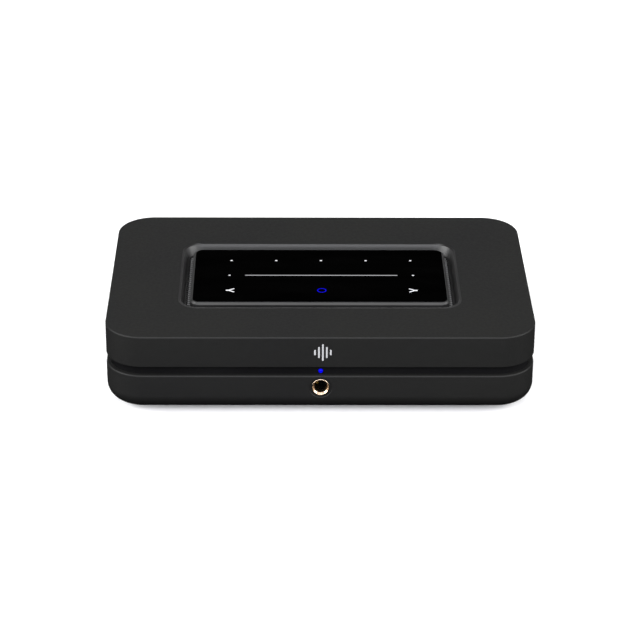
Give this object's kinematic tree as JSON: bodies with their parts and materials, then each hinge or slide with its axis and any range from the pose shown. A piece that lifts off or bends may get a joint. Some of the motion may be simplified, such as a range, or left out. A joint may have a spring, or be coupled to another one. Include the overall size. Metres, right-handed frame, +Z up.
{
  "type": "bluetooth audio receiver",
  "caption": "Low rectangular desktop audio receiver with rounded shells, a recessed waist, a flush touch panel in a vented well, a front headphone socket and a rear connector tray.",
  "frame": {"origin": "centre of the footprint, on the plane the feet stand on", "axes": "+X to the right seen from the front, +Y to the back, +Z up"},
  "size_m": [0.22, 0.146, 0.046],
  "materials": {
    "case_plastic": "fine moulded texture, soft satin",
    "waist_plastic": "moulded, matt",
    "panel_plastic": "moulded, matt",
    "foot_rubber": "moulded",
    "screw_steel": "zinc plated",
    "vent_plastic": "moulded, satin",
    "touch_glass": "back-printed black glass, polished",
    "adhesive_foam": "die-cut foam tape",
    "circuit_board": "solder mask on glass epoxy",
    "flat_cable": "laminated flat cable",
    "mark_print": "inlaid pale plastic",
    "light_lens": "tinted acrylic",
    "plated_nickel": "polished nickel plate",
    "socket_plastic": "moulded nylon",
    "gold_contact": "gold flashed",
    "chip_epoxy": "moulded epoxy",
    "heatsink_aluminium": "extruded",
    "shield_steel": "tinned sheet",
    "antenna_board": "glass epoxy",
    "lead_sheath": "extruded sheath",
    "capacitor_sleeve": "shrink sleeve",
    "power_board": "phenolic board",
    "insulator_sheet": "fish paper",
    "winding_tape": "polyester tape over windings",
    "copper_winding": "enamelled wire",
    "harness_sheath": "extruded sheath",
    "shutter_plastic": "moulded",
    "spring_steel": "drawn wire",
    "emitter_plastic": "clear red epoxy",
    "tongue_plastic": "moulded",
    "insert_plastic": "moulded, colour by channel",
    "black_screw": "black zinc"
  },
  "bodies": {
    "case": {"top_cover": "case_plastic", "lower_case": "case_plastic", "mid_frame": "waist_plastic", "rear_panel": "panel_plastic", "rear_bezel": "panel_plastic", "feet": "foot_rubber", "case_screws": "screw_steel", "vent_grille": "vent_plastic", "touch_carrier": "vent_plastic", "touch_glass": "touch_glass", "touch_adhesive": "adhesive_foam", "touch_board": "circuit_board", "touch_ribbon": "flat_cable", "front_mark": "mark_print", "status_lens": "light_lens", "status_led": "circuit_board", "headphone_bushing": "plated_nickel", "headphone_body": "socket_plastic", "headphone_contacts": "gold_contact", "headphone_board": "circuit_board", "headphone_ribbon": "flat_cable", "main_board": "circuit_board", "board_screws": "screw_steel", "processor": "chip_epoxy", "heatsink": "heatsink_aluminium", "wireless_module": "shield_steel", "antenna_left": "antenna_board", "antenna_right": "antenna_board", "antenna_leads": "lead_sheath", "audio_chips": "chip_epoxy", "filter_capacitors": "capacitor_sleeve", "psu_board": "power_board", "psu_insulator": "insulator_sheet", "psu_transformer": "winding_tape", "psu_capacitors": "capacitor_sleeve", "psu_choke": "copper_winding", "psu_heatsink": "heatsink_aluminium", "psu_screws": "screw_steel", "inlet_body": "socket_plastic", "inlet_pins": "plated_nickel", "inlet_leads": "lead_sheath", "power_harness": "harness_sheath", "optical_housing": "socket_plastic", "shutter_pin": "screw_steel", "shutter_spring": "spring_steel", "optical_emitter": "emitter_plastic", "hdmi_shell": "shield_steel", "hdmi_tongue": "socket_plastic", "usb_shell": "shield_steel", "usb_tongue": "tongue_plastic", "lan_shell": "shield_steel", "lan_contacts": "gold_contact", "line_in_jack": "socket_plastic", "ir_jack": "socket_plastic", "trigger_jack": "socket_plastic", "rca_block": "socket_plastic", "rca_barrels": "plated_nickel", "rca_inserts": "insert_plastic", "rca_contacts": "gold_contact", "panel_screws": "black_screw"},
    "shutter": {"optical_shutter": "shutter_plastic"}
  },
  "joints": [
    {"name": "shutter_hinge", "type": "hinge", "parent": "case", "child": "shutter", "pos_m": [-0.031, 0.0627, 0.0209], "axis": [-1, 0, 0], "range_deg": [0, 88], "stiffness_Nm_per_rad": 0.00004, "springref_deg": -34.38, "deforming": ["shutter_spring"]}
  ]
}
